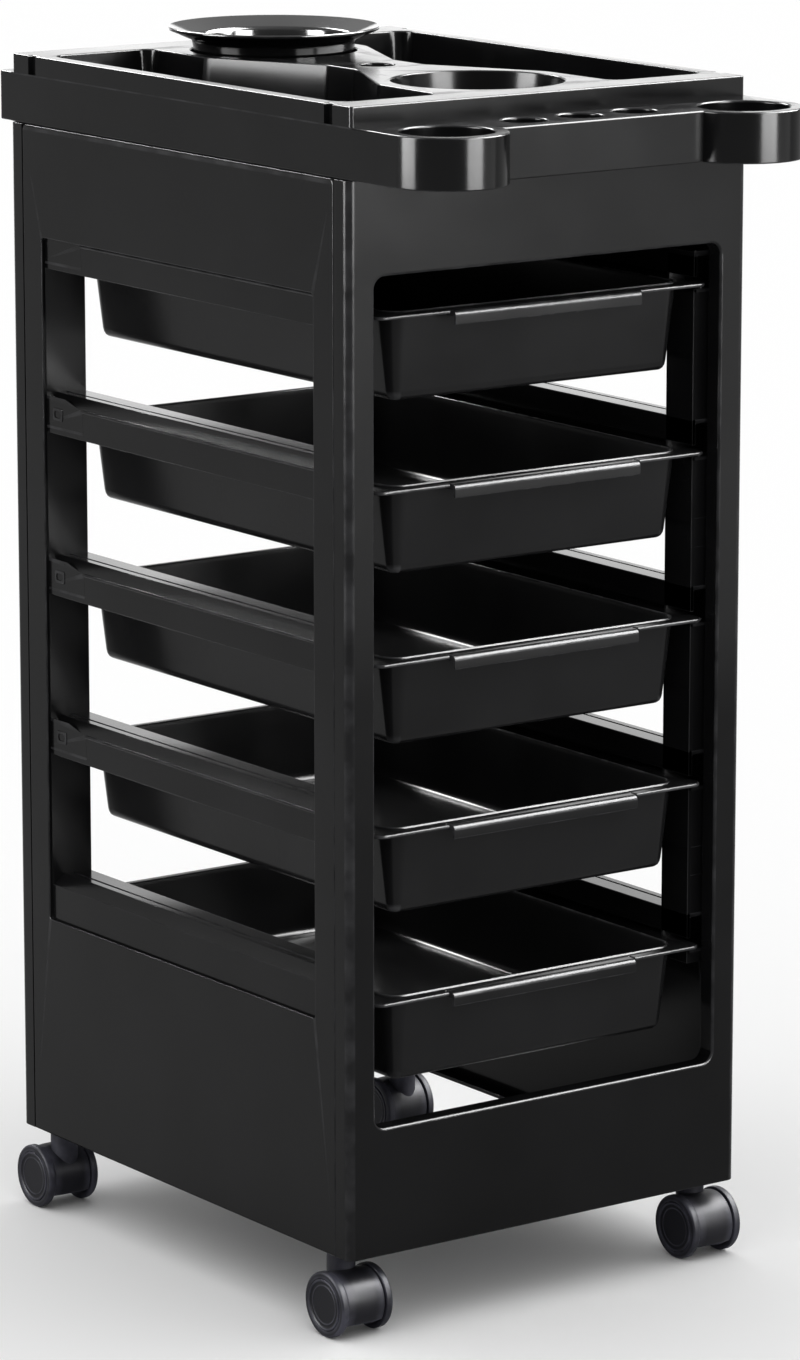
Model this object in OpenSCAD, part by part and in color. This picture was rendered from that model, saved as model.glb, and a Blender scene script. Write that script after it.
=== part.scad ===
// Rolling salon trolley: an open plastic cabinet on four twin-wheel casters,
// with five sliding drawers and a top tray that has dryer rings and a lift-out bowl.
// Millimetres, +Z up, drawers open towards -Y.

/* [Cabinet] */
// Width of the cabinet
cabinet_w = 350; // [340:1:370]
// Depth of the cabinet
cabinet_d = 434; // [424:1:450]
// Height of the cabinet walls
cabinet_h = 770; // [765:1:800]
// Gap between the floor and the cabinet
floor_gap = 60; // [58:1:70]
// Thickness of the plastic walls
wall = 3; // [2.5:0.1:3.5]
// Radius of the cabinet's vertical corners
corner_r = 6; // [4:1:10]

/* [Openings] */
// Side margin of the front and back openings
opening_margin = 23; // [21:1:25]
// Height of the opening's lower edge above the cabinet's bottom
opening_low = 94; // [85:1:100]
// Height of the opening's upper edge above the cabinet's bottom
opening_high = 702; // [698:1:720]
// Radius of the opening's corners
opening_r = 9; // [5:1:14]
// How far the opening's lip runs back
lip_depth = 14; // [8:1:16]
// Half length of the recess that holds the side windows
window_half = 175; // [170:1:178]

/* [Drawers] */
// Height of the lowest drawer's rim above the cabinet's bottom
first_rim = 183; // [175:1:190]
// Vertical distance from one drawer to the next
drawer_pitch = 122.5; // [118:0.5:123]
// Half width of the drawer's rim
rim_half = 145.5; // [144:0.5:147]
// Front edge of the drawer's rim
rim_front = -212; // [-213:1:-210]
// Back edge of the drawer's rim
rim_back = 195; // [185:1:196]
// Half width of the tub at its mouth
tub_half = 129; // [120:1:131]
// Depth of the tub below its rim
tub_depth = 63; // [50:1:66]
// How far each tub wall leans in towards the floor
tub_draft = 7; // [3:1:10]
// Thickness of the tub walls
tub_wall = 2.2; // [1.8:0.1:3]

/* [Tray] */
// Half width of the tray
tray_half = 172; // [168:1:172]
// Height of the ledge above the cabinet walls
ledge_h = 36.5; // [30:0.5:40]
// Height of the raised rim above the ledge
rim_step = 14; // [10:1:16]
// How far the front ledge overhangs the cabinet
front_reach = 60; // [56:1:66]
// How far the back ledge overhangs the cabinet
back_reach = 20; // [14:1:24]
// Radius of the hole in each dryer ring
dryer_hole_r = 33; // [28:1:36]
// Outer radius of each dryer ring
dryer_ring_r = 43; // [42:1:44]
// Radius of the three tool holes
tool_hole_r = 16.5; // [14:0.5:18]
// Distance between the tool holes
tool_pitch = 48; // [42:1:50]
// Depth of the two wells
well_depth = 40; // [30:1:44]
// Radius of the front cup and of the bowl's seat
cup_r = 62; // [58:1:63]
// Depth of the front cup and of the bowl's seat
cup_depth = 44; // [36:1:46]

/* [Bowl] */
// Radius of the bowl's body
bowl_r = 61; // [57:0.5:61.5]
// Radius of the bowl's flared rim
bowl_rim_r = 79; // [72:1:80]
// Height of the bowl's rim above the tray
bowl_stand = 18; // [12:1:24]

/* [Casters] */
// Radius of the wheels
wheel_r = 24; // [22:0.5:24]
// Width of each wheel
wheel_w = 11; // [9:0.5:13]
// Half width of the hood between the wheels
hood_half = 10.6; // [9:0.1:12]
// Distance from the swivel axis to the axle
trail = 10; // [8:1:14]
// Distance of the swivel axes from the middle, across
stem_x = 159; // [158:1:160]
// Distance of the swivel axes from the middle, front to back
stem_y = 184; // [178:1:186]
// Radius of the stems
stem_r = 5.5; // [5:0.5:6]

/* [Hidden] */
$fn = 48;

abs_black = [0.10, 0.10, 0.11];
drawer_black = [0.13, 0.13, 0.14];
nylon_grey = [0.24, 0.24, 0.28];
steel_grey = [0.62, 0.63, 0.65];

x_out = cabinet_w / 2;
x_in = x_out - wall;
y_out = cabinet_d / 2;
y_in = y_out - wall;
z_low = floor_gap;
z_high = floor_gap + cabinet_h;
z_ledge = z_high + ledge_h;
z_top = z_ledge + rim_step;

drawer_count = 5;
// Rim height of drawer n, counted from the top
function rim_z(n) = z_low + first_rim + (drawer_count - n) * drawer_pitch;

// The origin is under the middle of the whole trolley, ring to back ledge
ring_x = tray_half - dryer_ring_r;
ring_setback = 8;
ring_y = -y_out - front_reach + ring_setback;
front_end = -ring_y + dryer_ring_r;
back_end = y_out + back_reach;
shift_y = (front_end - back_end) / 2;

// Side panels: seam, recess and drawer channels
flange = 17;
seam = 0.6;
panel_end = y_out - flange;
recess = 3;
x_face = x_in;
x_recess = x_face - recess;
channel_in = 141;
channel_wall = 3;
channel_low = -8.1;
channel_floor = -5.6;
channel_lip = 3;
channel_top = 21.5;
bar_ridge = 13.5;
bar_slope = 9;
bead_r = 1.3;
window_low = rim_z(5) - 13;
window_high = rim_z(1) + 15;
end_wall = 2.5;
jamb_lean = 6.5;
stop_y = rim_back + 0.5;

// Frame tabs and screws
tab_levels = [z_low + 50, rim_z(5) + 61, rim_z(3) + 61, z_high - 40];
tab_h = 20;
tab_reach = 30;
tab_play = 0.5;
tab_x = x_in - 9;
screw_y = y_out - 29;
screw_r = 1.75;
screw_head_r = 3.5;
screw_head_h = 2.2;
screw_length = 8;
access_r = 5;
tray_screw_x = x_in - 5;
tray_screw_y = 120;
lip_wall = 2.5;

// Caster details
axle_r = 3;
running = 0.05;
axle_half = 20;
hood_r = 23;
hood_shell = 2.5;
hood_web = 3.5;
hood_cut = 13;
neck_r = 11;
neck_top = floor_gap - 1.6;
wheel_gap = 0.5;
wheel_inner_x = hood_half + wheel_gap;
wheel_outer_x = wheel_inner_x + wheel_w;
socket_depth = 28;
stem_low = 36;
cap_r = 19;
cap_t = 1.6;

// ---------- helpers ----------

// Everything is drawn around the cabinet's middle and then moved to the origin
module place() {
    translate([0, shift_y, 0]) children();
}

// A rectangle with four round corners, built from true arcs
module round_rect(x0, x1, y0, y1, r) {
    translate([x0 + r, y0]) square([x1 - x0 - 2 * r, y1 - y0]);
    translate([x0, y0 + r]) square([x1 - x0, y1 - y0 - 2 * r]);
    for (x = [x0 + r, x1 - r])
        for (y = [y0 + r, y1 - r])
            translate([x, y]) circle(r);
}

function unit(v) = v / norm(v);
function turn(u, v) = u[0] * v[1] - u[1] * v[0];
function wrap(a) = a > 180 ? a - 360 : a < -180 ? a + 360 : a;

// The arc that rounds the corner at b between a and c
function corner_arc(a, b, c, r, steps) =
    let (u = unit(a - b), v = unit(c - b), half = acos(u * v) / 2,
         middle = b + unit(u + v) * r / sin(half),
         from = b + u * r / tan(half) - middle,
         to = b + v * r / tan(half) - middle,
         start = atan2(from[1], from[0]),
         sweep = wrap(atan2(to[1], to[0]) - start))
    [for (i = [0:steps])
        middle + r * [cos(start + sweep * i / steps), sin(start + sweep * i / steps)]];

// An outline with each corner rounded; every point is [x, y, corner radius]
function rounded(p, steps = 6) =
    let (n = len(p))
    [for (i = [0:n - 1])
        for (q = corner_arc(xy(p[(i + n - 1) % n]), xy(p[i]), xy(p[(i + 1) % n]), p[i][2], steps)) q];
function xy(p) = [p[0], p[1]];

// The same outline, d larger all round (points run anticlockwise)
function grown(p, d) =
    let (n = len(p))
    [for (i = [0:n - 1])
        let (b = xy(p[i]), u = unit(xy(p[(i + n - 1) % n]) - b), v = unit(xy(p[(i + 1) % n]) - b),
             convex = turn(v, u) > 0, half = acos(u * v) / 2, out = unit(u + v) * d / sin(half))
        [b[0] + (convex ? -out[0] : out[0]), b[1] + (convex ? -out[1] : out[1]),
         p[i][2] + (convex ? d : -d)]];

// ---------- front and back frames ----------

module opening_2d(inset) {
    round_rect(-x_out + opening_margin + inset, x_out - opening_margin - inset,
               z_low + opening_low + inset, z_low + opening_high - inset, opening_r);
}

// A slab that stands in the X-Z plane, from y0 back to y1
module upright(y0, y1) {
    translate([0, y1, 0]) rotate([90, 0, 0]) linear_extrude(y1 - y0) children();
}

// Plan of the frame's skin: the front wall and its two side flanges
module frame_plan() {
    difference() {
        round_rect(-x_out, x_out, -y_out, y_out, corner_r);
        round_rect(-x_in, x_in, -y_in, y_in, corner_r - wall);
        translate([-x_out - 1, -y_out + flange - seam]) square([cabinet_w + 2, cabinet_d]);
    }
}

module frame_tab(z) {
    difference() {
        union() {
            translate([tab_x - wall, -y_in - 0.01, z - tab_h / 2])
                cube([wall, tab_reach, tab_h]);
            // root that ties the tab to the front wall
            translate([tab_x - wall, -y_in - 0.01, z - tab_h / 2])
                cube([x_in - tab_x + wall, 3, tab_h]);
        }
        translate([tab_x - wall - 1, -screw_y, z])
            rotate([0, 90, 0]) cylinder(r = screw_r, h = wall + 2);
    }
}

module frame() {
    difference() {
        union() {
            translate([0, 0, z_low]) linear_extrude(cabinet_h) frame_plan();
            upright(-y_in - 0.01, -y_out + lip_depth) opening_2d(-lip_wall);
        }
        upright(-y_out - 1, y_out) opening_2d(0);
    }
    for (side = [0, 1])
        mirror([side, 0, 0])
            for (z = tab_levels) frame_tab(z);
}

module front_frame() {
    color(abs_black) place() frame();
}

module back_frame() {
    color(abs_black) place() mirror([0, 1, 0]) frame();
}

// ---------- side panels ----------

// Section of one drawer channel, drawn in X and Z around the rim's height
module channel_2d() {
    polygon([
        [channel_in, channel_low],
        [x_face, channel_low],
        [x_face, bar_ridge],
        [x_face - bar_slope, channel_top],
        [channel_in, channel_top],
        [channel_in, channel_lip],
        [channel_in + channel_wall, channel_lip],
        [channel_in + channel_wall, channel_top - channel_wall],
        [x_face - bar_slope - 1, channel_top - channel_wall],
        [x_recess, bar_ridge - 1],
        [x_recess, channel_floor],
        [channel_in, channel_floor]
    ]);
}

module channel(z) {
    translate([0, 0, z]) {
        upright(-panel_end, stop_y) channel_2d();
        // bead along the bar's outer top edge
        translate([x_face - 0.4, 0, bar_ridge])
            rotate([90, 0, 0]) cylinder(r = bead_r, h = 2 * window_half, center = true);
    }
}

// Lying plan of one window jamb, leaning in from the recess to the channel
module jamb_2d() {
    polygon([
        [x_face, window_half],
        [x_face, window_half + wall],
        [channel_in, window_half + wall - jamb_lean],
        [channel_in, window_half - jamb_lean]
    ]);
}

// Web that closes the end of a stile between two channels
module end_web(z0, z1) {
    difference() {
        translate([channel_in, panel_end - end_wall, z0])
            cube([x_in - channel_in + 0.01, end_wall, z1 - z0]);
        // slots that the frames' tabs pass through
        for (z = tab_levels)
            translate([tab_x - wall - tab_play, panel_end - end_wall - 1, z - tab_h / 2 - tab_play])
                cube([x_in - tab_x + wall + tab_play, end_wall + 2, tab_h + 2 * tab_play]);
    }
}

module caster_socket() {
    difference() {
        union() {
            cylinder(r = neck_r, h = socket_depth + 4);
            // webs to the side wall and along it
            translate([0, -1.5, 0]) cube([x_in - stem_x + 0.01, 3, socket_depth + 4]);
            for (s = [-1, 1])
                translate([x_in - stem_x - 8, s * 8 - 1.5, 0]) cube([8.01, 3, socket_depth + 4]);
        }
        translate([0, 0, -1]) cylinder(r = stem_r, h = socket_depth + 1);
    }
}

module screw_boss(y, z) {
    difference() {
        translate([tab_x, y, z]) rotate([0, 90, 0]) cylinder(r = 4.5, h = x_in - tab_x + 0.01);
        translate([tab_x - 1, y, z]) rotate([0, 90, 0]) cylinder(r = screw_r, h = screw_length);
    }
}

// The right-hand panel; the left one is its mirror image
module side_panel() {
    difference() {
        union() {
            // outer skin, with the recess for the windows
            difference() {
                translate([x_in, -panel_end, z_low]) cube([wall, 2 * panel_end, cabinet_h]);
                translate([x_in - 1, -window_half, window_low])
                    cube([wall + 2, 2 * window_half, window_high - window_low]);
            }
            // recessed border around the windows
            difference() {
                translate([x_recess, -window_half - wall, window_low - wall])
                    cube([recess + 0.01, 2 * (window_half + wall), window_high - window_low + 2 * wall]);
                translate([x_recess - 1, -window_half, rim_z(5) + channel_low + 1])
                    cube([recess + 3, 2 * window_half, rim_z(1) - rim_z(5) + 3]);
            }
            // jambs and the inner skins of the stiles
            for (s = [0, 1])
                mirror([0, s, 0]) {
                    translate([0, 0, window_low - wall])
                        linear_extrude(window_high - window_low + 2 * wall) jamb_2d();
                    difference() {
                        translate([channel_in, window_half - jamb_lean, window_low - wall])
                            cube([wall, panel_end - window_half + jamb_lean,
                                  window_high - window_low + 2 * wall]);
                        for (z = [tab_levels[1], tab_levels[2]])
                            translate([channel_in - 1, screw_y, z])
                                rotate([0, 90, 0]) cylinder(r = access_r, h = wall + 2);
                    }
                    end_web(window_low - wall, rim_z(drawer_count) + channel_low);
                    for (n = [2:drawer_count])
                        end_web(rim_z(n) + channel_top - 0.01, rim_z(n - 1) + channel_low);
                    end_web(rim_z(1) + channel_top - 0.01, window_high + wall);
                }
            // bottom flange and the shelf under the tray
            translate([x_in - 12, -panel_end, z_low]) cube([12.01, 2 * panel_end, wall]);
            translate([x_in - 9, -panel_end, z_high - 10]) cube([9.01, 2 * panel_end, wall]);
        }
        // mouths of the drawer channels
        for (n = [1:drawer_count])
            translate([channel_in - 1, -panel_end - 1, rim_z(n) + channel_floor])
                cube([channel_wall + 2, stop_y + panel_end + 1, channel_lip - channel_floor]);
        // the channels run through the jambs
        for (n = [1:drawer_count])
            translate([channel_in + 1, -panel_end - 1, rim_z(n) + channel_floor])
                cube([x_recess - channel_in - 1, stop_y + panel_end + 1,
                      channel_top - channel_wall - channel_floor - 5]);
        // room for the tray screws and the caster stems
        for (s = [-1, 1]) {
            translate([tray_screw_x, s * tray_screw_y, z_high - 11]) cylinder(r = screw_r, h = wall + 2);
            translate([stem_x, s * stem_y, z_low - 1]) cylinder(r = stem_r, h = wall + 2);
        }
    }
    for (n = [1:drawer_count]) channel(rim_z(n));
    for (s = [-1, 1]) {
        for (z = tab_levels) screw_boss(s * screw_y, z);
        translate([stem_x, s * stem_y, z_low]) caster_socket();
    }
}

module right_side_panel() {
    color(abs_black) place() side_panel();
}

module left_side_panel() {
    color(abs_black) place() mirror([1, 0, 0]) side_panel();
}

// ---------- screws ----------

// Pan-head screw along +Z, its head below the origin
module screw(length) {
    translate([0, 0, -screw_head_h]) cylinder(r = screw_head_r, h = screw_head_h);
    cylinder(r = screw_r, h = length);
}

module frame_screws() {
    color(steel_grey) place()
        for (sx = [0, 1])
            for (sy = [0, 1])
                mirror([sx, 0, 0]) mirror([0, sy, 0])
                    for (z = tab_levels)
                        translate([tab_x - wall, -screw_y, z]) rotate([0, 90, 0]) screw(screw_length);
}

module tray_screws() {
    color(steel_grey) place()
        for (sx = [-1, 1])
            for (sy = [-1, 1])
                translate([sx * tray_screw_x, sy * tray_screw_y, z_high - 10]) screw(screw_length);
}

// ---------- drawers ----------

// One level of the tub, d smaller than its mouth all round
module tub_level(d, z, h) {
    translate([0, 0, z])
        linear_extrude(h)
            round_rect(-tub_half + d, tub_half - d, rim_front + 9 + d, rim_back - 9 - d, 15);
}

module tub_solid(inset, depth) {
    hull() {
        tub_level(inset, -0.01, 0.01);
        tub_level(inset + tub_draft * (depth - 5) / tub_depth, -depth + 5, 0.01);
        tub_level(inset + tub_draft + 3.5, -depth, 0.01);
    }
}

handle_half = 82;
handle_gap = 2.2;

module drawer() {
    difference() {
        union() {
            tub_solid(0, tub_depth);
            // flat rim
            difference() {
                translate([0, 0, -2.5]) linear_extrude(2.5)
                    round_rect(-rim_half, rim_half, rim_front, rim_back, 8);
                // the rim gives way to the handle in the middle of the front
                translate([-handle_half - handle_gap, rim_front - 1, -3])
                    cube([2 * (handle_half + handle_gap), 7, 4]);
            }
            // lips that run in the channels
            for (s = [-1, 1])
                translate([s * (rim_half - 1) - 1, rim_front + 8, -5])
                    cube([2, rim_back - rim_front - 16, 3]);
            // handle: a rolled lip, a little lower and further forward than the rim
            translate([-handle_half, rim_front - 3.5, -5]) cube([2 * handle_half, 13, 3]);
            translate([-handle_half, rim_front - 3.5, -10]) cube([2 * handle_half, 2.2, 7]);
            // raised bead around the mouth
            linear_extrude(1.4)
                round_rect(-tub_half, tub_half, rim_front + 9, rim_back - 9, 15);
        }
        tub_solid(tub_wall, tub_depth - tub_wall);
        translate([0, 0, -0.02]) linear_extrude(3)
            round_rect(-tub_half + tub_wall, tub_half - tub_wall,
                       rim_front + 9 + tub_wall, rim_back - 9 - tub_wall, 15 - tub_wall);
    }
}

module drawer_at(n) {
    color(drawer_black) place() translate([0, 0, rim_z(n)]) drawer();
}
module drawer_1() { drawer_at(1); }
module drawer_2() { drawer_at(2); }
module drawer_3() { drawer_at(3); }
module drawer_4() { drawer_at(4); }
module drawer_5() { drawer_at(5); }

// ---------- top tray ----------

cup_y = -129;
bowl_y = 126;
small_hole_y = -6;
small_hole_r = 13;
tool_y = -y_out - 31;
tray_wall = 2.5;
rim_border = 12;
tray_corner_r = 2.5;
slot_y = 190;
slot_w = 10;
slot_d = 4;
plug_depth = 6;
plug_inset = wall + 0.4;

// Right-hand well: straight outer side, waisted inner side
well = [
    [tray_half - rim_border, -188, 14],
    [tray_half - rim_border, 184, 14],
    [72, 184, 10],
    [72, 108, 20],
    [30, 14, 18],
    [30, -24, 25],
    [74, -112, 30],
    [76, -188, 12]
];

// Outline of the ledge, inset by d
module ledge_2d(d) {
    translate([-tray_half + d, ring_y])
        square([2 * (tray_half - d), back_end - ring_y - d]);
    translate([-ring_x, -y_out - front_reach + d]) square([2 * ring_x, front_reach]);
    for (s = [-1, 1]) translate([s * ring_x, ring_y]) circle(dryer_ring_r - d);
}

module rim_2d(d) {
    round_rect(-tray_half + d, tray_half - d, -y_out + d, y_out - d, tray_corner_r);
}

module both_wells(grow) {
    for (s = [0, 1])
        mirror([s, 0, 0]) polygon(rounded(grown(well, grow)));
}

module tray_shell() {
    difference() {
        union() {
            translate([0, 0, z_high]) linear_extrude(ledge_h) ledge_2d(0);
            translate([0, 0, z_high]) linear_extrude(ledge_h + rim_step) rim_2d(0);
        }
        // hollow under the rim plate
        translate([0, 0, z_high - 1]) linear_extrude(ledge_h + rim_step + 1 - tray_wall)
            rim_2d(tray_wall);
        // hollow under the ledges
        translate([0, 0, z_high - 1]) linear_extrude(ledge_h + 1 - tray_wall)
            difference() {
                ledge_2d(tray_wall);
                rim_2d(0);
            }
    }
    // plug that drops inside the cabinet walls
    translate([0, 0, z_high - plug_depth]) linear_extrude(plug_depth + 4)
        difference() {
            rim_2d(plug_inset);
            rim_2d(plug_inset + tray_wall);
        }
    translate([0, 0, z_high]) linear_extrude(4)
        difference() {
            rim_2d(tray_wall - 1);
            rim_2d(plug_inset + tray_wall);
        }
}

// The wells, the front cup and the bowl's seat, grown by a wall thickness or cut to size
module tray_pockets(grow, above) {
    translate([0, 0, z_top - well_depth - grow])
        linear_extrude(well_depth + grow + above) both_wells(grow);
    for (y = [cup_y, bowl_y])
        translate([0, y, z_top - cup_depth - grow])
            cylinder(r = cup_r + grow, h = cup_depth + grow + above, $fn = 96);
}

module top_tray() {
    color(abs_black) place()
        difference() {
            union() {
                tray_shell();
                tray_pockets(tray_wall, -1);
                for (s = [-1, 1])
                    translate([s * ring_x, ring_y, z_high])
                        cylinder(r = dryer_hole_r + tray_wall, h = ledge_h, $fn = 96);
                for (i = [-1:1])
                    translate([i * tool_pitch, tool_y, z_ledge - 12])
                        cylinder(r = tool_hole_r + 2, h = 12);
                // posts for the tray screws
                for (sx = [-1, 1])
                    for (sy = [-1, 1])
                        translate([sx * tray_screw_x, sy * tray_screw_y, z_high - plug_depth])
                            cylinder(r = 3.6, h = 18);
            }
            tray_pockets(0, 1);
            for (s = [-1, 1])
                translate([s * ring_x, ring_y, z_high - 1])
                    cylinder(r = dryer_hole_r, h = ledge_h + 2, $fn = 96);
            for (i = [-1:1])
                translate([i * tool_pitch, tool_y, z_ledge - 13]) cylinder(r = tool_hole_r, h = 15);
            translate([0, small_hole_y, z_top - 20]) cylinder(r = small_hole_r, h = 22);
            // catch slots near the four corners of the rim
            for (sx = [-1, 1])
                for (sy = [-1, 1])
                    translate([sx * tray_half - slot_d, sy * slot_y - slot_w / 2, z_ledge])
                        cube([2 * slot_d, slot_w, rim_step + 1]);
            // holes for the tray screws
            for (sx = [-1, 1])
                for (sy = [-1, 1])
                    translate([sx * tray_screw_x, sy * tray_screw_y, z_high - plug_depth - 1])
                        cylinder(r = screw_r, h = 10);
        }
}

// ---------- tint bowl ----------

bowl_wall = 2;
bowl_low = z_top - cup_depth + 0.5;
bowl_top = z_top + bowl_stand;

module tint_bowl() {
    color(drawer_black) place() translate([0, bowl_y, 0])
        rotate_extrude($fn = 96)
            polygon([
                [0, bowl_low],
                [bowl_r - 6, bowl_low],
                [bowl_r - 1.2, bowl_low + 5],
                [bowl_r, bowl_top - 10.5],
                [bowl_r + 2, bowl_top - 9],
                [bowl_rim_r - 2, bowl_top - 3],
                [bowl_rim_r, bowl_top - 1.5],
                [bowl_rim_r - 0.8, bowl_top],
                [bowl_r, bowl_top - 6.8],
                [bowl_r - bowl_wall, bowl_top - 8.6],
                [bowl_r - 1.2 - bowl_wall, bowl_low + 6],
                [bowl_r - 7 - bowl_wall, bowl_low + bowl_wall],
                [0, bowl_low + bowl_wall]
            ]);
}

// ---------- casters ----------

// Caster parts are drawn on their swivel axis, with the axle towards -Y

module caster_stem() {
    color(steel_grey) {
        translate([0, 0, stem_low]) cylinder(r = stem_r, h = z_low + socket_depth - 2 - stem_low);
        translate([0, 0, z_low - 1.3]) cylinder(r = 8, h = 1.3);
    }
}

module caster_hood() {
    color(nylon_grey)
        difference() {
            union() {
                translate([0, -trail, wheel_r]) rotate([0, 90, 0]) {
                    difference() {
                        cylinder(r = hood_r, h = 2 * hood_half, center = true, $fn = 72);
                        cylinder(r = hood_r - hood_shell, h = 2 * hood_half + 1, center = true, $fn = 72);
                    }
                    cylinder(r = hood_r - 1, h = 2 * hood_web, center = true, $fn = 72);
                }
                translate([0, 0, stem_low - 4]) cylinder(r = neck_r - 0.6, h = neck_top - stem_low + 4);
            }
            // open underneath
            translate([-20, -trail - 40, -10]) cube([40, 80, wheel_r - hood_cut + 10]);
            translate([0, 0, stem_low - 0.3]) cylinder(r = stem_r + running, h = 40);
            translate([0, -trail, wheel_r]) rotate([0, 90, 0])
                cylinder(r = axle_r, h = 2 * hood_half, center = true);
        }
}

module axle() {
    color(steel_grey) translate([-axle_half, -trail, wheel_r]) rotate([0, 90, 0])
        cylinder(r = axle_r, h = 2 * axle_half);
}

// The wheel on the +X side
module wheel() {
    color(nylon_grey) translate([0, -trail, wheel_r]) rotate([0, 90, 0])
        rotate_extrude($fn = 96)
            polygon([
                [axle_r + running, wheel_inner_x],
                [7, wheel_inner_x],
                [7, wheel_inner_x + 4],
                [wheel_r - 5, wheel_inner_x + 4],
                [wheel_r - 4, wheel_inner_x + 0.5],
                [wheel_r - 1, wheel_inner_x + 0.5],
                [wheel_r, wheel_inner_x + 1.5],
                [wheel_r, wheel_outer_x - 3],
                [wheel_r - 0.6, wheel_outer_x - 1.2],
                [wheel_r - 2.2, wheel_outer_x],
                [cap_r + 0.4, wheel_outer_x],
                [cap_r, wheel_outer_x - cap_t],
                [7, wheel_outer_x - cap_t],
                [7, wheel_outer_x - cap_t - 0.6],
                [axle_r + running, wheel_outer_x - cap_t - 0.6]
            ]);
}

// Hub cap with a raised ring, pressed into the wheel's outer face
module cap() {
    color(nylon_grey) translate([0, -trail, wheel_r]) rotate([0, 90, 0])
        rotate_extrude($fn = 72)
            polygon([
                [0, wheel_outer_x - cap_t],
                [cap_r - 0.1, wheel_outer_x - cap_t],
                [cap_r - 0.1, wheel_outer_x],
                [cap_r - 0.8, wheel_outer_x + 0.5],
                [cap_r - 1.8, wheel_outer_x + 0.5],
                [cap_r - 2.6, wheel_outer_x - 0.4],
                [0, wheel_outer_x - 0.4]
            ]);
}

// Puts a caster part at a corner; the back casters face backwards
module at_corner(sx, sy) {
    place() translate([sx * stem_x, sy * stem_y, 0]) mirror([0, sy > 0 ? 1 : 0, 0]) children();
}

// side is 1 for the wheel on +X and -1 for the wheel on -X
module on_side(side) {
    mirror([side > 0 ? 0 : 1, 0, 0]) children();
}

module front_left_caster_stem() { at_corner(-1, -1) caster_stem(); }
module front_left_caster_hood() { at_corner(-1, -1) caster_hood(); }
module front_left_axle() { at_corner(-1, -1) axle(); }
module front_left_outer_wheel() { at_corner(-1, -1) on_side(-1) wheel(); }
module front_left_inner_wheel() { at_corner(-1, -1) on_side(1) wheel(); }
module front_left_outer_cap() { at_corner(-1, -1) on_side(-1) cap(); }
module front_left_inner_cap() { at_corner(-1, -1) on_side(1) cap(); }

module front_right_caster_stem() { at_corner(1, -1) caster_stem(); }
module front_right_caster_hood() { at_corner(1, -1) caster_hood(); }
module front_right_axle() { at_corner(1, -1) axle(); }
module front_right_outer_wheel() { at_corner(1, -1) on_side(1) wheel(); }
module front_right_inner_wheel() { at_corner(1, -1) on_side(-1) wheel(); }
module front_right_outer_cap() { at_corner(1, -1) on_side(1) cap(); }
module front_right_inner_cap() { at_corner(1, -1) on_side(-1) cap(); }

module back_left_caster_stem() { at_corner(-1, 1) caster_stem(); }
module back_left_caster_hood() { at_corner(-1, 1) caster_hood(); }
module back_left_axle() { at_corner(-1, 1) axle(); }
module back_left_outer_wheel() { at_corner(-1, 1) on_side(-1) wheel(); }
module back_left_inner_wheel() { at_corner(-1, 1) on_side(1) wheel(); }
module back_left_outer_cap() { at_corner(-1, 1) on_side(-1) cap(); }
module back_left_inner_cap() { at_corner(-1, 1) on_side(1) cap(); }

module back_right_caster_stem() { at_corner(1, 1) caster_stem(); }
module back_right_caster_hood() { at_corner(1, 1) caster_hood(); }
module back_right_axle() { at_corner(1, 1) axle(); }
module back_right_outer_wheel() { at_corner(1, 1) on_side(1) wheel(); }
module back_right_inner_wheel() { at_corner(1, 1) on_side(-1) wheel(); }
module back_right_outer_cap() { at_corner(1, 1) on_side(1) cap(); }
module back_right_inner_cap() { at_corner(1, 1) on_side(-1) cap(); }

front_frame();
back_frame();
left_side_panel();
right_side_panel();
top_tray();
tint_bowl();
frame_screws();
tray_screws();
drawer_1();
drawer_2();
drawer_3();
drawer_4();
drawer_5();
front_left_caster_stem();
front_left_caster_hood();
front_left_axle();
front_left_outer_wheel();
front_left_inner_wheel();
front_left_outer_cap();
front_left_inner_cap();
front_right_caster_stem();
front_right_caster_hood();
front_right_axle();
front_right_outer_wheel();
front_right_inner_wheel();
front_right_outer_cap();
front_right_inner_cap();
back_left_caster_stem();
back_left_caster_hood();
back_left_axle();
back_left_outer_wheel();
back_left_inner_wheel();
back_left_outer_cap();
back_left_inner_cap();
back_right_caster_stem();
back_right_caster_hood();
back_right_axle();
back_right_outer_wheel();
back_right_inner_wheel();
back_right_outer_cap();
back_right_inner_cap();
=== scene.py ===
"""Rolling salon trolley: detailed pieces, materials, stage, lights and camera."""

import math

import bmesh
import bpy
from mathutils import Matrix, Vector
from mathutils.geometry import tessellate_polygon

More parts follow.
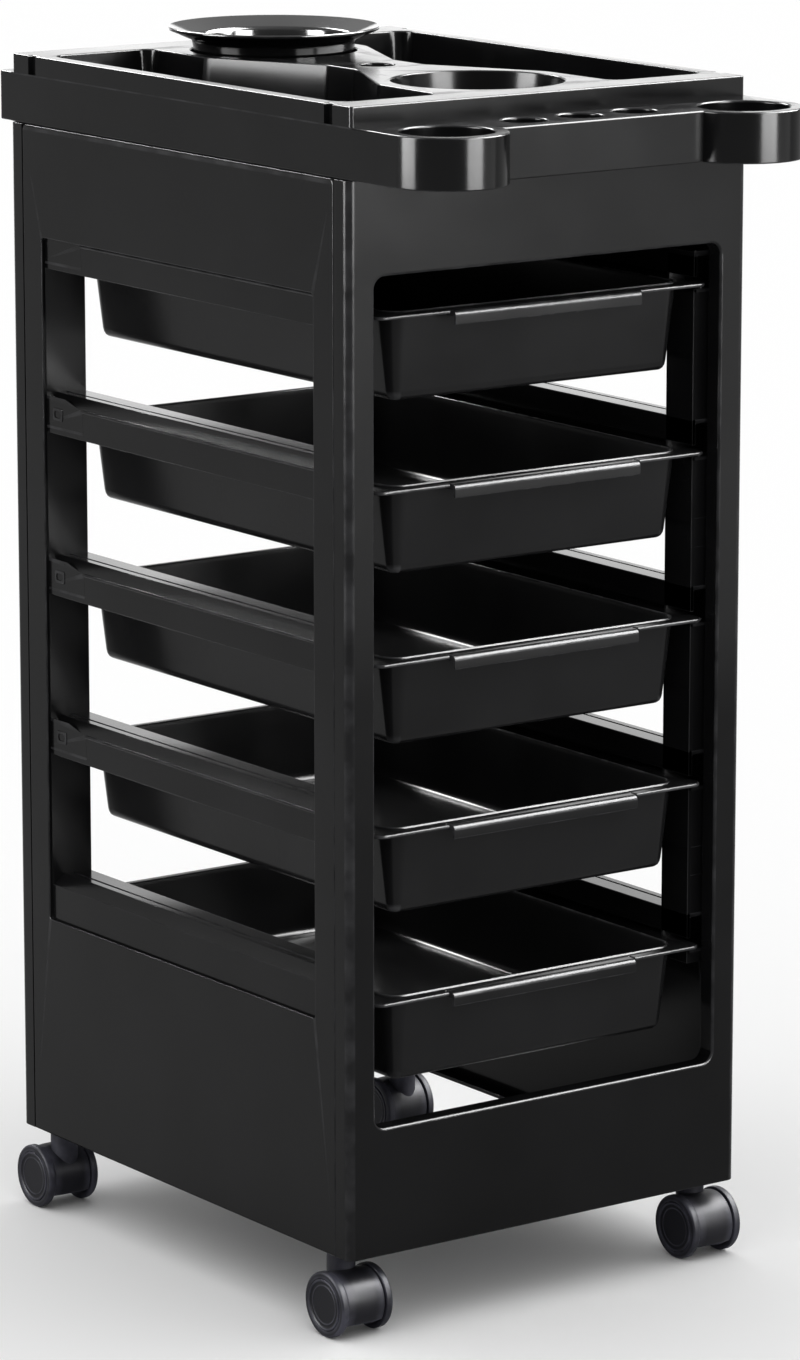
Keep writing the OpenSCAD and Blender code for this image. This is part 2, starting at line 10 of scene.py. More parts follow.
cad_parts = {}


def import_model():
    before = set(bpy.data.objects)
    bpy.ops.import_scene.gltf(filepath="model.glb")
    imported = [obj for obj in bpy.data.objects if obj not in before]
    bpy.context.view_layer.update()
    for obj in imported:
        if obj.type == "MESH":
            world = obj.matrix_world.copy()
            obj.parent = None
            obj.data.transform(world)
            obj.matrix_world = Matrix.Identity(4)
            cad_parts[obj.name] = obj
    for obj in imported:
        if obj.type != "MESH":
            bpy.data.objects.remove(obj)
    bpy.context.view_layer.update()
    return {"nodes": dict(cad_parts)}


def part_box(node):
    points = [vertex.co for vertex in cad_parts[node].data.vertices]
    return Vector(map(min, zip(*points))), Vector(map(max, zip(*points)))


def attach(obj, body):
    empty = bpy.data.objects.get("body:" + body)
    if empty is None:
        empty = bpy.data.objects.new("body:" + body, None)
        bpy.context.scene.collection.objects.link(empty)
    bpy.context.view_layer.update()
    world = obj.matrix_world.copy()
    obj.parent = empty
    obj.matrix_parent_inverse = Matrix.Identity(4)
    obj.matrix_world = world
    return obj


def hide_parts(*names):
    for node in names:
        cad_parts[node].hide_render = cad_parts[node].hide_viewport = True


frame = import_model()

MM = 0.001

# Sizes repeat part.scad, in millimetres, around the middle of the cabinet
X_OUT, Y_OUT = 175.0, 217.0
Z_LOW, Z_HIGH, Z_LEDGE, Z_TOP = 60.0, 830.0, 866.5, 880.5
WALL = 3.0
SHIFT_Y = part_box("front_frame")[0].y / MM + Y_OUT
RIMS = [Z_LOW + 183 + (5 - n) * 122.5 for n in range(1, 6)]
PANEL_END = 200.0
STOP_Y = 195.5
CHANNEL_X = 141.0
RECESS_X = 169.0
FACE_X = 172.0
INTO_SKIN = FACE_X + 0.2
SLOT, SLOT_X = 10.5, 159.5
BOSS_X = 163.0
RECESS_Y = 178.0
SLIDE_LOW, SLIDE_HIGH = -5.6, 3.0
BEAD_R = 1.3
WINDOW_HALF = 175.0
WINDOW_LOW, WINDOW_HIGH = RIMS[4] - 13, RIMS[0] + 15
BAR_LOW, BAR_RIDGE, BAR_TOP = -8.1, 13.5, 21.5
TAB_LEVELS = [Z_LOW + 50, RIMS[4] + 61, RIMS[2] + 61, Z_HIGH - 40]
STEM_X, STEM_Y, TRAIL = 159.0, 184.0, 10.0
WHEEL_R = 24.0
BOSS_Y = 188.0
SOCKET_R, SOCKET_BORE = 11.0, 5.6
BLOCK_Y = 128.0
# An edge is worn and painted lighter, a painted highlight, where its faces are
# narrower than this (metres) and it bends more than this (radians)
WEAR_AND_HIGHLIGHT_WIDTH, WEAR_AND_HIGHLIGHT_BEND = 0.0015, 0.3
# Corners nearer than this (mm) are joined; edges sharper than this (degrees) stay hard
MERGE_DISTANCE = 0.0005
HARD_EDGE, HARD_EDGE_ROUND = 38.0, 50.0


# ---------- mesh helpers ----------

def along_z(x, y, h):
    return Vector((x, y, h))


def along_x(y, z, h):
    return Vector((h, y, z))


def along_y(x, z, h):
    return Vector((x, h, z))


def grow(loop, d):
    """The loop moved outwards by d (points run anticlockwise)."""
    out = []
    for i, b in enumerate(loop):
        u = (Vector(b) - Vector(loop[i - 1])).normalized()
        v = (Vector(loop[(i + 1) % len(loop)]) - Vector(b)).normalized()
        nu, nv = Vector((u.y, -u.x)), Vector((v.y, -v.x))
        out.append(tuple(Vector(b) + (nu + nv) * d / (1 + nu.dot(nv))))
    return out


def arc(cx, cy, r, a0, a1, steps):
    return [(cx + r * math.cos(math.radians(a0 + (a1 - a0) * i / steps)),
             cy + r * math.sin(math.radians(a0 + (a1 - a0) * i / steps))) for i in range(steps + 1)]


def circle(cx, cy, r, steps=96):
    return arc(cx, cy, r, 0, 360 * (steps - 1) / steps, steps - 1)


def round_rect(x0, x1, y0, y1, r, steps=8):
    return (arc(x1 - r, y0 + r, r, -90, 0, steps) + arc(x1 - r, y1 - r, r, 0, 90, steps)
            + arc(x0 + r, y1 - r, r, 90, 180, steps) + arc(x0 + r, y0 + r, r, 180, 270, steps))


def rounded(points, steps=6):
    """An outline with each corner rounded; every point is (x, y, corner radius)."""
    out = []
    for i, (bx, by, r) in enumerate(points):
        b = Vector((bx, by))
        a, c = Vector(points[i - 1][:2]), Vector(points[(i + 1) % len(points)][:2])
        u, v = (a - b).normalized(), (c - b).normalized()
        half = math.acos(max(-1, min(1, u.dot(v)))) / 2
        middle = b + (u + v).normalized() * r / math.sin(half)
        first, last = b + u * r / math.tan(half) - middle, b + v * r / math.tan(half) - middle
        start = math.atan2(first.y, first.x)
        sweep = (math.atan2(last.y, last.x) - start + math.pi) % (2 * math.pi) - math.pi
        for k in range(steps + 1):
            t = start + sweep * k / steps
            out.append((middle.x + r * math.cos(t), middle.y + r * math.sin(t)))
    return out


def edge_path(h0, h1, r0, r1, steps=4):
    """Inset and height along a wall from h0 up to h1, with its two edges rounded."""
    path = []
    for r, h, up in ((r0, h0, 1), (r1, h1, -1)):
        quarter = [(r * (1 - math.sin(math.pi / 2 * i / steps)),
                    h + up * r * (1 - math.cos(math.pi / 2 * i / steps)))
                   for i in range(steps + 1)] if r > 0 else [(0.0, h)]
        path += quarter if up > 0 else quarter[::-1]
    return path


class Solid:
    """The rings and faces of one piece."""

    def __init__(self):
        self.bm = bmesh.new()

    def ring(self, loop, h, place=along_z):
        return loop, [self.bm.verts.new(place(x, y, h)) for x, y in loop]

    def band(self, low, high, skip=()):
        a, b = low[1], high[1]
        for i in range(len(a)):
            if i not in skip:
                j = (i + 1) % len(a)
                self.bm.faces.new((a[i], a[j], b[j], b[i]))

    def cap(self, *rings):
        verts = [v for r in rings for v in r[1]]
        for t in tessellate_polygon([[Vector((x, y, 0)) for x, y in r[0]] for r in rings]):
            if len(set(t)) == 3:
                self.bm.faces.new([verts[i] for i in t])

    def skin(self, steps, place=along_z):
        """Joins rings given as (loop, height), and returns the first and last."""
        rings = [self.ring(loop, h, place) for loop, h in steps]
        for low, high in zip(rings, rings[1:]):
            self.band(low, high)
        return rings[0], rings[-1]

    def plate(self, outer, holes, h0, h1, place=along_z, r0=0.0, r1=0.0, hole_r0=0.0, hole_r1=0.0):
        """A slab with rounded edges and holes."""
        ends = [self.skin([(grow(outer, -d), h) for d, h in edge_path(h0, h1, r0, r1)], place)]
        ends += [self.skin([(grow(hole, d), h) for d, h in edge_path(h0, h1, hole_r0, hole_r1)], place)
                 for hole in holes]
        self.cap(*[e[0] for e in ends])
        self.cap(*[e[1] for e in ends])

    def block(self, x0, x1, y0, y1, z0, z1, r=0.5):
        self.plate(round_rect(x0, x1, y0, y1, r, 3), [], z0, z1, along_z, r, r)

    def lathe(self, profile, place, steps=96, sweep=360.0, start=0.0):
        """Turns a closed profile of (radius, height); place takes (a, b, height)."""
        full = sweep >= 360
        count = steps if full else steps + 1
        rows = []
        for i in range(count):
            t = math.radians(start + sweep * i / steps)
            rows.append([self.bm.verts.new(place(r * math.cos(t), r * math.sin(t), h)) for r, h in profile])
        for i in range(count if full else count - 1):
            a, b = rows[i], rows[(i + 1) % count]
            for k in range(len(profile)):
                j = (k + 1) % len(profile)
                self.bm.faces.new((a[k], a[j], b[j], b[k]))
        if not full:
            for row in (rows[0], rows[-1]):
                self.cap((profile, row))

    def finish(self, name, body, material, nodes, sharp=HARD_EDGE):
        bm = self.bm
        bmesh.ops.remove_doubles(bm, verts=bm.verts, dist=MERGE_DISTANCE)
        bmesh.ops.translate(bm, verts=bm.verts, vec=(0, SHIFT_Y, 0))
        bmesh.ops.scale(bm, verts=bm.verts, vec=(MM, MM, MM))
        bmesh.ops.recalc_face_normals(bm, faces=bm.faces)
        for e in bm.edges:
            e.smooth = len(e.link_faces) == 2 and e.calc_face_angle(0) < math.radians(sharp)
        for f in bm.faces:
            f.smooth = True
        # Narrow bent edges are marked, both for wear and for a painted highlight
        worn_and_lit = bm.verts.layers.float.new("edge_wear_and_highlight")
        for v in bm.verts:
            bend = sum(e.calc_face_angle_signed(0) for e in v.link_edges if len(e.link_faces) == 2)
            narrow = all(2 * f.calc_area() / f.calc_perimeter() < WEAR_AND_HIGHLIGHT_WIDTH for f in v.link_faces)
            v[worn_and_lit] = 1.0 if narrow and bend > WEAR_AND_HIGHLIGHT_BEND else 0.0
        mesh = bpy.data.meshes.new(name)
        bm.to_mesh(mesh)
        bm.free()
        mesh.materials.append(material)
        piece = bpy.data.objects.new(name, mesh)
        bpy.context.scene.collection.objects.link(piece)
        normals = piece.modifiers.new("face_weighted_normals", "WEIGHTED_NORMAL")
        normals.keep_sharp = True
        normals.weight = 80
        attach(piece, body)
        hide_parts(*nodes)
        return piece


# ---------- materials ----------

IOR = 1.5
# How much lighter the worn edges are painted, a painted highlight, and how much duller they get
EDGE_HIGHLIGHT_LIGHTER, RUBBED_DULLER = 4, 0.08
# Colour sockets of Blender's Mix node
MIX_A, MIX_B, MIX_RESULT = 6, 7, 2


def node(tree, kind, **values):
    made = tree.nodes.new(kind)
    for key, value in values.items():
        if key in made.inputs:
            made.inputs[key].default_value = value
        else:
            setattr(made, key, value)
    return made


def ranged(tree, source, span, result):
    """The source's value, taken from span to result."""
    made = node(tree, "ShaderNodeMapRange")
    for key, value in zip(("From Min", "From Max", "To Min", "To Max"), (*span, *result)):
        made.inputs[key].default_value = value
    tree.links.new(source, made.inputs["Value"])
    return made.outputs["Result"]


def moulded(name, dark, light, rough, grain, depth, specular):
    """Moulded plastic: mottled colour, uneven gloss, fine wipe marks,
    patchily duller edges painted lighter as a painted highlight, and a moulded grain."""
    material = bpy.data.materials.new(name)
    material.use_nodes = True
    tree = material.node_tree
    shader = tree.nodes["Principled BSDF"]
    shader.inputs["IOR"].default_value = IOR
    shader.inputs["Specular IOR Level"].default_value = specular
    place = node(tree, "ShaderNodeTexCoord").outputs["Object"]

    def noise(scale, detail, squeeze=(1, 1, 1)):
        mapping = node(tree, "ShaderNodeMapping", Scale=squeeze)
        made = node(tree, "ShaderNodeTexNoise", Scale=scale, Detail=detail)
        tree.links.new(place, mapping.inputs["Vector"])
        tree.links.new(mapping.outputs["Vector"], made.inputs["Vector"])
        return made.outputs["Fac"]

    ramp = node(tree, "ShaderNodeValToRGB")
    ramp.color_ramp.elements[0].position = 0.35
    ramp.color_ramp.elements[1].position = 0.7
    ramp.color_ramp.elements[0].color = (*dark, 1)
    ramp.color_ramp.elements[1].color = (*light, 1)
    tree.links.new(noise(9, 4), ramp.inputs["Fac"])

    patches = ranged(tree, noise(45, 3), (0.4, 0.62), (0.25, 1.0))
    edge = node(tree, "ShaderNodeAttribute", attribute_name="edge_wear_and_highlight")
    wear_and_highlight = node(tree, "ShaderNodeMath", operation="MULTIPLY")
    tree.links.new(edge.outputs["Fac"], wear_and_highlight.inputs[0])
    tree.links.new(patches, wear_and_highlight.inputs[1])
    # The marked edges are painted lighter, a painted highlight, made patchy by the noise above
    painted_edge_highlight = node(tree, "ShaderNodeMix", data_type="RGBA")
    painted_edge_highlight.inputs[MIX_B].default_value = (*[EDGE_HIGHLIGHT_LIGHTER * c for c in light], 1)
    tree.links.new(wear_and_highlight.outputs["Value"], painted_edge_highlight.inputs["Factor"])
    tree.links.new(ramp.outputs["Color"], painted_edge_highlight.inputs[MIX_A])
    tree.links.new(painted_edge_highlight.outputs[MIX_RESULT], shader.inputs["Base Color"])

    clouds = ranged(tree, noise(14, 6), (0.3, 0.75), rough)
    wipes = ranged(tree, noise(60, 3, (1.0, 1.3, 12.0)), (0.58, 0.75), (0.0, 0.02))
    both = node(tree, "ShaderNodeMath", operation="ADD")
    tree.links.new(clouds, both.inputs[0])
    tree.links.new(wipes, both.inputs[1])
    dulled = node(tree, "ShaderNodeMath", operation="MULTIPLY_ADD")
    dulled.inputs[1].default_value = RUBBED_DULLER
    tree.links.new(wear_and_highlight.outputs["Value"], dulled.inputs[0])
    tree.links.new(both.outputs["Value"], dulled.inputs[2])
    tree.links.new(dulled.outputs["Value"], shader.inputs["Roughness"])

    bump = node(tree, "ShaderNodeBump", Strength=0.35, Distance=depth)
    tree.links.new(noise(grain, 2), bump.inputs["Height"])
    tree.links.new(bump.outputs["Normal"], shader.inputs["Normal"])
    return material


def steel(name):
    """Plain turned steel with fine marks."""
    material = bpy.data.materials.new(name)
    material.use_nodes = True
    tree = material.node_tree
    shader = tree.nodes["Principled BSDF"]
    shader.inputs["Metallic"].default_value = 1.0
    shader.inputs["Base Color"].default_value = (0.56, 0.56, 0.58, 1)
    place = node(tree, "ShaderNodeTexCoord").outputs["Object"]
    mapping = node(tree, "ShaderNodeMapping", Scale=(1, 1, 30))
    marks = node(tree, "ShaderNodeTexNoise", Scale=220, Detail=4)
    tree.links.new(place, mapping.inputs["Vector"])
    tree.links.new(mapping.outputs["Vector"], marks.inputs["Vector"])
    rough = ranged(tree, marks.outputs["Fac"], (0.0, 1.0), (0.2, 0.45))
    tree.links.new(rough, shader.inputs["Roughness"])
    bump = node(tree, "ShaderNodeBump", Strength=0.3, Distance=0.00005)
    tree.links.new(marks.outputs["Fac"], bump.inputs["Height"])
    tree.links.new(bump.outputs["Normal"], shader.inputs["Normal"])
    return material


# name, darkest and lightest colour, roughness, grain per metre, its depth in
# metres, specular level
CABINET = moulded("cabinet_gloss_abs", (0.0032, 0.0032, 0.0034), (0.0062, 0.0062, 0.0066),
                  (0.14, 0.2), 900, 0.000012, 0.085)
DRAWER = moulded("drawer_satin_abs", (0.0075, 0.0075, 0.0079), (0.012, 0.012, 0.0126),
                 (0.18, 0.26), 1400, 0.000015, 0.085)
BOWL = moulded("bowl_gloss_plastic", (0.003, 0.003, 0.0032), (0.0045, 0.0045, 0.0047),
               (0.09, 0.15), 700, 0.00001, 0.3)
CASTER = moulded("caster_nylon", (0.008, 0.008, 0.011), (0.013, 0.013, 0.017),
                 (0.36, 0.48), 1800, 0.00003, 0.07)
STEEL = steel("turned_steel")


# ---------- front and back frames ----------

FLANGE = 16.4
TAB_X, TAB_Y, TAB_HALF = (160, 163), (-214.2, -184), 10
FOOT_X, FOOT_Y, FOOT_HALF = (160.3, 172.2), (-214.2, -211), 9.7
OPENING_MARGIN, OPENING_LOW, OPENING_HIGH, OPENING_R = 23, Z_LOW + 94, Z_LOW + 702, 9
LIP_DEPTH = 14


def frame_piece(name, s):
    solid = Solid()
    end = Y_OUT - FLANGE
    plan = (arc(-X_OUT + 6, -Y_OUT + 6, 6, 180, 270, 8) + arc(X_OUT - 6, -Y_OUT + 6, 6, 270, 360, 8)
            + [(X_OUT, -end), (X_OUT - WALL, -end)]
            + arc(X_OUT - 6, -Y_OUT + 6, 3, 0, -90, 8) + arc(-X_OUT + 6, -Y_OUT + 6, 3, -90, -180, 8)
            + [(-X_OUT + WALL, -end), (-X_OUT, -end)])

    def place(x, y, h):
        return Vector((x, s * y, h))

    def place_opening(x, z, h):
        return Vector((x, s * h, z))

    rings = [solid.ring(grow(plan, -d), h, place) for d, h in edge_path(Z_LOW, Z_HIGH, 0.8, 0.8)]
    front, back = 8, 28
    middle = len(rings) // 2 - 1
    for i, (low, high) in enumerate(zip(rings, rings[1:])):
        solid.band(low, high, skip=(front, back) if i == middle else ())
    solid.cap(rings[0])
    solid.cap(rings[-1])

    opening = round_rect(-X_OUT + OPENING_MARGIN, X_OUT - OPENING_MARGIN,
                         OPENING_LOW, OPENING_HIGH, OPENING_R)
    front_y, lip_y, inner_y = -Y_OUT, -Y_OUT + LIP_DEPTH, -Y_OUT + WALL
    path = [(d, front_y + h) for d, h in edge_path(0, LIP_DEPTH, 2.2, 0.7, 5)]
    path += [(1.8, lip_y), (2.3, lip_y - 0.2), (2.5, lip_y - 0.7), (2.5, inner_y)]
    first, last = solid.skin([(grow(opening, d), h) for d, h in path], place_opening)
    low, high = rings[middle][1], rings[middle + 1][1]
    for edge, hole, y in ((front, first, -Y_OUT), (back, last, inner_y)):
        corners = [low[edge], low[edge + 1], high[edge + 1], high[edge]]
        solid.cap(([(v.co.x, v.co.z) for v in corners], corners), hole)

    # screw tabs and the feet that join them to the wall
    for side in (-1, 1):
        for z in TAB_LEVELS:
            for x, y, half in ((TAB_X, TAB_Y, TAB_HALF), (FOOT_X, FOOT_Y, FOOT_HALF)):
                x, y = sorted(side * v for v in x), sorted(s * v for v in y)
                solid.block(x[0], x[1], y[0], y[1], z - half, z + half)
    solid.finish(name + "_shell", "cabinet", CABINET, [name])


frame_piece("front_frame", 1)
frame_piece("back_frame", -1)


# ---------- side panels ----------

def side_piece(name, s):
    solid = Solid()

    def place_skin(y, z, h):
        return Vector((s * h, y, z))

    def place_plan(x, y, h):
        return Vector((s * x, y, h))

    def place_bar(x, z, h):
        return Vector((s * x, h, z))

    def slab(x0, x1, y0, y1, z0, z1, r=0.4):
        solid.plate(round_rect(x0, x1, y0, y1, r, 3), [], z0, z1, place_plan, r, r)

    # outer skin and its recess
    outline = rounded([(-PANEL_END, Z_LOW, 0.8), (PANEL_END, Z_LOW, 0.8), (PANEL_END, Z_HIGH, 4.5),
                       (-PANEL_END, Z_HIGH, 4.5)])
    solid.plate(outline, [round_rect(-WINDOW_HALF, WINDOW_HALF, WINDOW_LOW, WINDOW_HIGH, 2.5, 5)],
                FACE_X, X_OUT, place_skin, 0, 1.3, 0, 1.0)
    # the recess's border above the windows and under them, the jambs and the stiles' inner skins
    slab(RECESS_X, FACE_X, -RECESS_Y, RECESS_Y, RIMS[0] + BAR_RIDGE - 1, WINDOW_HIGH + WALL)
    slab(RECESS_X, FACE_X, -RECESS_Y, RECESS_Y, WINDOW_LOW - WALL, RIMS[4] + BAR_LOW + 1)
    mouths = [WINDOW_LOW - WALL]
    mouths += [rim + z for rim in RIMS[::-1] for z in (SLIDE_LOW, SLIDE_HIGH)]
    mouths += [WINDOW_HIGH + WALL]
    for t in (-1, 1):
        jamb = [(FACE_X, t * WINDOW_HALF, 0.3), (FACE_X, t * RECESS_Y, 0.3),
                (CHANNEL_X, t * 171.5, 0.5), (CHANNEL_X, t * 168.5, 0.9)]
        solid.plate(rounded(jamb if t > 0 else jamb[::-1], 3), [],
                    WINDOW_LOW - WALL, WINDOW_HIGH + WALL, place_plan)
        y = sorted((t * 169.5, t * PANEL_END))
        for z0, z1 in zip(mouths[::2], mouths[1::2]):
            slab(CHANNEL_X, CHANNEL_X + WALL, y[0], y[1], z0, z1)
        # webs that close the stile's end between the channels, with slots for the frame's tabs
        lows = [WINDOW_LOW - WALL] + [rim + BAR_TOP - 0.1 for rim in RIMS[::-1]]
        highs = [rim + BAR_LOW + 0.1 for rim in RIMS[::-1]] + [WINDOW_HIGH + WALL]
        for z0, z1 in zip(lows, highs):
            parts = [(z0, z1, INTO_SKIN)]
            for tab in TAB_LEVELS:
                if z0 < tab < z1:
                    parts = [(z0, tab - SLOT, INTO_SKIN), (tab - SLOT - 0.1, tab + SLOT + 0.1, SLOT_X),
                             (tab + SLOT, z1, INTO_SKIN)]
            y = sorted((t * (PANEL_END - 2.5), t * (PANEL_END - 0.05)))
            for low, high, x in parts:
                slab(CHANNEL_X + 0.1, x, y[0], y[1], low, high, 0.3)
    # drawer channels, whose outer walls are the bars between the windows
    section = [(CHANNEL_X, BAR_LOW, 0.5), (FACE_X, BAR_LOW, 0.8), (FACE_X, BAR_RIDGE, 0.7),
               (163, BAR_TOP, 0.9), (157.6, BAR_TOP, 0.3), (157.2, BAR_TOP - 0.9, 0.3),
               (155.6, BAR_TOP - 0.9, 0.3), (155.2, BAR_TOP, 0.3),
               (CHANNEL_X, BAR_TOP, 0.8), (CHANNEL_X, SLIDE_HIGH, 0.8), (CHANNEL_X + WALL, SLIDE_HIGH, 0.8),
               (CHANNEL_X + WALL, 18.5, 0.8), (162, 18.5, 0.8), (RECESS_X, 12.5, 0.8),
               (RECESS_X, SLIDE_LOW, 0.5), (CHANNEL_X, SLIDE_LOW, 0.5)]
    for rim in RIMS:
        loop = [(x, z + rim) for x, z in rounded(section, 3)]
        solid.plate(loop, [], -PANEL_END, STOP_Y, place_bar)
        if rim == RIMS[4]:
            continue
        bead = circle(FACE_X - 0.4, rim + BAR_RIDGE, BEAD_R, 16)
        solid.plate(bead, [], -WINDOW_HALF - 0.5, BLOCK_Y - 2, place_bar)
        # flat block at the bar's back end, with a small raised pad
        block = rounded([(RECESS_Y, -3, 1), (RECESS_Y, 18.6, 1), (BLOCK_Y + 22, 18.6, 6),
                         (BLOCK_Y, BAR_RIDGE - 0.5, 3), (BLOCK_Y - 1.5, -3, 1)][::-1])
        solid.plate([(y, z + rim) for y, z in block], [], 161, FACE_X + 0.05, place_skin, 0, 1.2)
        if rim == RIMS[0]:
            continue
        pad = round_rect(153, 166, rim + 2.5, rim + 12, 1.5, 4)
        solid.plate(pad, [grow(pad, -2.2)], FACE_X - 0.5, FACE_X + 0.6, place_skin, 0, 0.4, 0, 0.4)
    # flange along the bottom, ledge under the tray, screw bosses and caster sockets
    slab(160, INTO_SKIN, -PANEL_END, PANEL_END, Z_LOW, Z_LOW + WALL)
    slab(BOSS_X, INTO_SKIN, -PANEL_END, PANEL_END, Z_HIGH - 10, Z_HIGH - 7)
    for t in (-1, 1):
        for z in TAB_LEVELS:
            solid.plate(circle(t * BOSS_Y, z, 4.5, 24), [circle(t * BOSS_Y, z, 1.9, 24)],
                        BOSS_X, INTO_SKIN, place_skin, 0.4)
        solid.plate(circle(STEM_X, t * STEM_Y, SOCKET_R, 48),
                    [circle(STEM_X, t * STEM_Y, SOCKET_BORE, 32)],
                    Z_LOW, Z_LOW + 32, place_plan, 0.6, 0.6)
        slab(STEM_X + 9, INTO_SKIN, t * STEM_Y - 1.5, t * STEM_Y + 1.5, Z_LOW + 1, Z_LOW + 31)
        for k in (-8, 8):
            slab(STEM_X + 6, INTO_SKIN, t * STEM_Y + k - 1.5, t * STEM_Y + k + 1.5, Z_LOW + 1, Z_LOW + 31)
    solid.finish(name + "_shell", "cabinet", CABINET, [name])


side_piece("left_side_panel", -1)
side_piece("right_side_panel", 1)


# ---------- top tray ----------

TRAY_HALF = 172.0
RING_X, RING_Y, RING_R, RING_HOLE = 129.0, -269.0, 42.96, 33.0
TOOL_Y, TOOL_R = -248.0, 16.5
CUP_Y, BOWL_Y, CUP_R, CUP_DEPTH = -129.0, 126.0, 62.0, 44.0
WELL_DEPTH = 40.0
WELL_DRAFT, SEAT_DRAFT, CUP_DRAFT = 3.2, 1.0, 5.5
PLATE = 2.5
LEDGE_LOW = Z_HIGH + 0.3
LEDGE_FRONT, LEDGE_BACK = -Y_OUT - 60, Y_OUT + 20
WELL = [(160, -188, 14), (160, 184, 14), (72, 184, 10), (72, 108, 20), (30, 14, 18), (30, -24, 25),
        (74, -112, 30), (76, -188, 12)]


def rim_loop(d):
    """The raised rim with its four catch slots, d smaller all round."""
    x, y, deep, near, far = TRAY_HALF - 0.02, Y_OUT, 4.0, 185.0, 195.0

    def side(sx):
        points = []
        for a, b in ((-far, -near), (near, far)):
            points += [(sx * x, a), (sx * (x - deep), a), (sx * (x - deep), b), (sx * x, b)]
        return points if sx > 0 else points[::-1]

    r = 2.5
    loop = (arc(x - r, -y + r, r, -90, 0, 6) + side(1) + arc(x - r, y - r, r, 0, 90, 6)
            + arc(-x + r, y - r, r, 90, 180, 6) + side(-1) + arc(-x + r, -y + r, r, 180, 270, 6))
    return grow(loop, -d)


def ledge_ring(solid, d, h):
    """The ledge's outline, inset by d except along the sides, which stand flush under the rim."""
    inner = math.degrees(math.acos((RING_Y - LEDGE_FRONT) / RING_R))
    right = arc(RING_X, RING_Y, RING_R, 270 - inner, 360, 40)
    left = [(-x, y) for x, y in right][::-1]
    sides = [(TRAY_HALF, y) for y in (-Y_OUT - 3, -Y_OUT, Y_OUT, Y_OUT + 3)]
    loop = (right + sides + arc(TRAY_HALF - 5, LEDGE_BACK - 5, 5, 0, 90, 6)
            + arc(-TRAY_HALF + 5, LEDGE_BACK - 5, 5, 90, 180, 6)
            + [(-x, y) for x, y in sides][::-1] + left)
    return solid.ring([edge if abs(edge[1]) < Y_OUT + 1 else moved
                       for edge, moved in zip(loop, grow(loop, -d))], h)


def pocket(solid, loop, depth, draft, fillet):
    """A well or cup: the top edge's ring and the outer wall's top ring."""
    bottom = Z_TOP - depth
    path = [(d, h) for d, h in edge_path(bottom, Z_TOP, 0, 1.2)][::-1][:-1]
    path += [(-draft, bottom + fillet)]
    path += [(-draft - fillet * (1 - math.cos(math.pi / 2 * i / 6)),
              bottom + fillet * (1 - math.sin(math.pi / 2 * i / 6))) for i in range(1, 7)]
    top, floor = solid.skin([(grow(loop, d), h) for d, h in path])
    solid.cap(floor)
    outer = [(PLATE, Z_TOP - PLATE), (PLATE - draft, bottom + fillet - PLATE),
             (PLATE - draft - 0.3 * fillet, bottom - 1.7), (PLATE - draft - fillet, bottom - PLATE)]
    under, base = solid.skin([(grow(loop, d), h) for d, h in outer])
    solid.cap(base)
    return top, under


def tray_piece():
    solid = Solid()
    well = rounded(WELL, 8)
    left_well = [(-x, y) for x, y in well][::-1]
    pockets = [pocket(solid, outline, WELL_DEPTH, WELL_DRAFT, 6.0) for outline in (well, left_well)]
    for y, draft in ((CUP_Y, CUP_DRAFT), (BOWL_Y, SEAT_DRAFT)):
        pockets.append(pocket(solid, circle(0, y, CUP_R), CUP_DEPTH, draft, 5.0))
    small = circle(0, -6, 13, 48)
    hole = solid.skin([(grow(small, d), h) for d, h in edge_path(Z_TOP - PLATE, Z_TOP, 0, 1.0)])
    outer = [(PLATE, Z_TOP - PLATE), (PLATE, Z_LEDGE - 5)]
    outer += [(d, h) for d, h in edge_path(Z_LEDGE - 5, Z_TOP, 0, 1.2)]
    under, top = solid.skin([(rim_loop(d), h) for d, h in outer])
    solid.cap(top, *[p[0] for p in pockets], hole[1])
    solid.cap(under, *[p[1] for p in pockets], hole[0])
    # the ledge, with the dryer rings and the tool holes
    holes = [circle(s * RING_X, RING_Y, RING_HOLE) for s in (-1, 1)]
    holes += [circle(x, TOOL_Y, TOOL_R, 48) for x in (-48, 0, 48)]
    inside = round_rect(-TRAY_HALF + 6, TRAY_HALF - 6, -Y_OUT + 6, Y_OUT - 6, 3)
    rings = [ledge_ring(solid, d, h) for d, h in edge_path(LEDGE_LOW, Z_LEDGE, 1.0, 1.4)]
    for low, high in zip(rings, rings[1:]):
        solid.band(low, high)
    ends = [(rings[0], rings[-1])]
    ends += [solid.skin([(grow(h, d), z) for d, z in edge_path(LEDGE_LOW, Z_LEDGE, 1.0, 1.6)])
             for h in holes]
    ends += [solid.skin([(inside, LEDGE_LOW), (inside, Z_LEDGE)])]
    solid.cap(*[e[0] for e in ends])
    solid.cap(*[e[1] for e in ends])
    # plug that drops inside the cabinet walls
    plug = round_rect(-TRAY_HALF + 3.4, TRAY_HALF - 3.4, -Y_OUT + 3.4, Y_OUT - 3.4, 2)
    solid.plate(plug, [grow(plug, -2.5)], Z_HIGH - 6, Z_HIGH + 8)
    solid.finish("top_tray_shell", "cabinet", CABINET, ["top_tray"])


tray_piece()


# ---------- drawers ----------

RIM_HALF, RIM_FRONT, RIM_BACK = 145.5, -212.0, 195.0
TUB_HALF, TUB_FRONT, TUB_BACK = 129.0, -203.0, 186.0
HANDLE_HALF, HANDLE_GAP = 82.0, 2.2


def drawer_loop(half, front, back, r, notch):
    """A rounded outline whose front edge steps back by notch behind the handle."""
    gap = HANDLE_HALF + HANDLE_GAP
    return ([(-gap, front), (-gap + 0.8, front + notch), (gap - 0.8, front + notch), (gap, front)]
            + round_rect(-half, half, front, back, r, 8))


